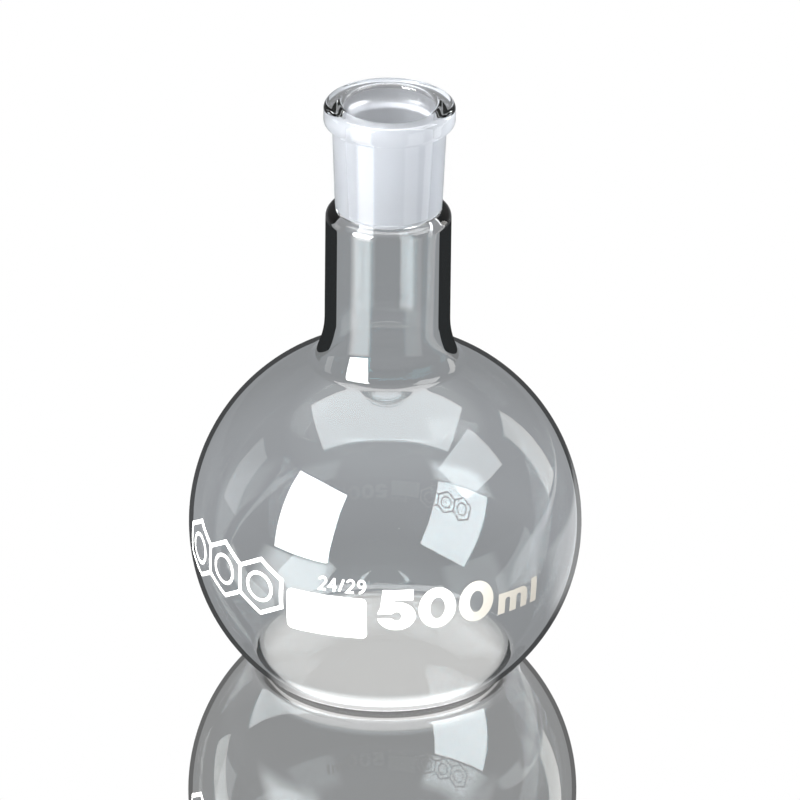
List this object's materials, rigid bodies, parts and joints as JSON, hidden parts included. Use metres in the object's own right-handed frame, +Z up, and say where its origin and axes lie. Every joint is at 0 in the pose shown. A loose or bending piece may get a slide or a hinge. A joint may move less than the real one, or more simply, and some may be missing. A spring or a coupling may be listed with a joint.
{
  "type": "flat bottom boiling flask",
  "caption": "Flat bottom glass boiling flask: thin round bulb, short flared neck, ground taper socket with a beaded rim, and white enamel capacity and size marks on the front.",
  "frame": {"origin": "centre of the flat base, in the plane the flask stands on", "axes": "+Z up the neck, which is the axis of revolution of the glass; -Y faces the printed front, so +X is to the right of someone reading the print"},
  "size_m": [0.105, 0.105, 0.163],
  "materials": {
    "clear_glass": "clear borosilicate glass, fire polished, with a faint green-blue tint at the edges",
    "ground_glass": "clear outside, ground to an even matt white inside the taper",
    "white_enamel": "fired white enamel, slightly satin"
  },
  "bodies": {
    "root": {"bulb": "clear_glass", "neck": "clear_glass", "ground_socket": "ground_glass", "marking_spot": "white_enamel", "capacity_number": "white_enamel", "capacity_unit": "white_enamel", "joint_size_mark": "white_enamel", "maker_badge": "white_enamel"}
  },
  "joints": []
}
